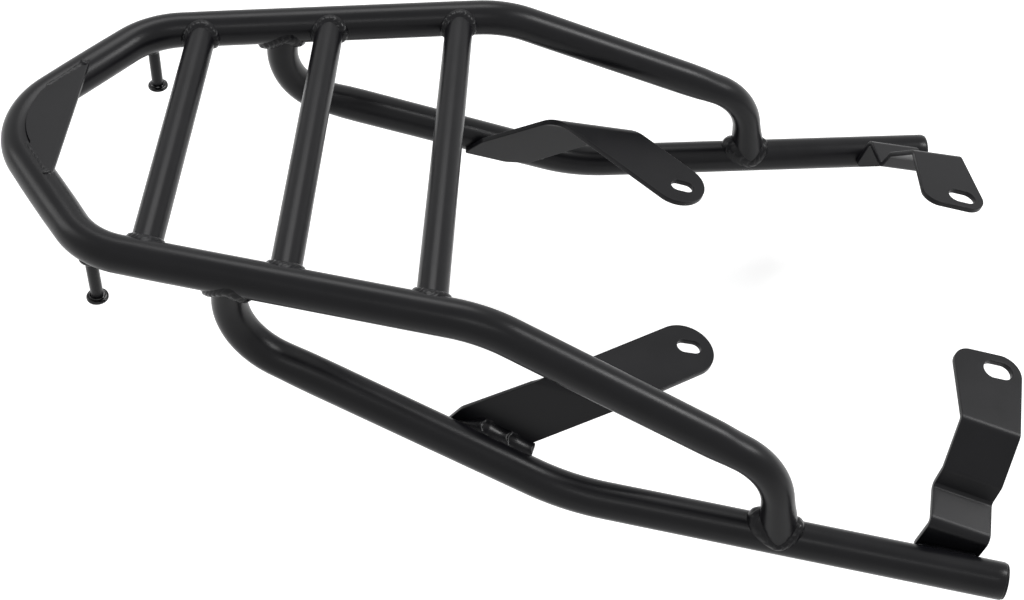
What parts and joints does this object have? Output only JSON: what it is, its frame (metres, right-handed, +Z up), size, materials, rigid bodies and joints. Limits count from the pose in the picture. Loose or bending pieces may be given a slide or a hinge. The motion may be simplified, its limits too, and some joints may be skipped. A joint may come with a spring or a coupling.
{
  "type": "motorcycle luggage rack",
  "caption": "Tubular steel rear luggage rack: rounded hoop deck with crossbars, hanging side rails and slotted folded brackets.",
  "frame": {"origin": "on the centreline plane of the deck tubes, on the middle plane, level with the rear corners", "axes": "+X forward from the nose to the brackets, +Y to the rider's left, +Z up"},
  "size_m": [0.6903, 0.445, 0.1782],
  "materials": {
    "tube": "satin black powder coat",
    "bracket": "satin black powder coat",
    "weld": "powder coat over rippled weld",
    "cap": "satin black powder coat",
    "peg_foot": "glossy black paint"
  },
  "bodies": {
    "root": {"hoop": "tube", "nose_plate": "bracket", "crossbar_rear": "tube", "crossbar_middle": "tube", "crossbar_front": "tube", "rail_left": "tube", "rail_right": "tube", "rail_cap_left": "cap", "rail_cap_right": "cap", "mid_bracket_left": "bracket", "mid_bracket_right": "bracket", "front_bracket_left": "bracket", "front_bracket_right": "bracket", "peg_left": "tube", "peg_right": "tube", "peg_foot_left": "peg_foot", "peg_foot_right": "peg_foot", "weld_rear_left": "weld", "weld_rear_right": "weld", "weld_middle_left": "weld", "weld_middle_right": "weld", "weld_front_left": "weld", "weld_front_right": "weld", "weld_rail_top_left": "weld", "weld_rail_top_right": "weld", "weld_leg_left": "weld", "weld_leg_right": "weld", "weld_mid_bracket_left": "weld", "weld_mid_bracket_right": "weld", "weld_front_bracket_left": "weld", "weld_front_bracket_right": "weld", "weld_peg_left": "weld", "weld_peg_right": "weld", "weld_nose_left": "weld", "weld_nose_right": "weld"}
  },
  "joints": []
}
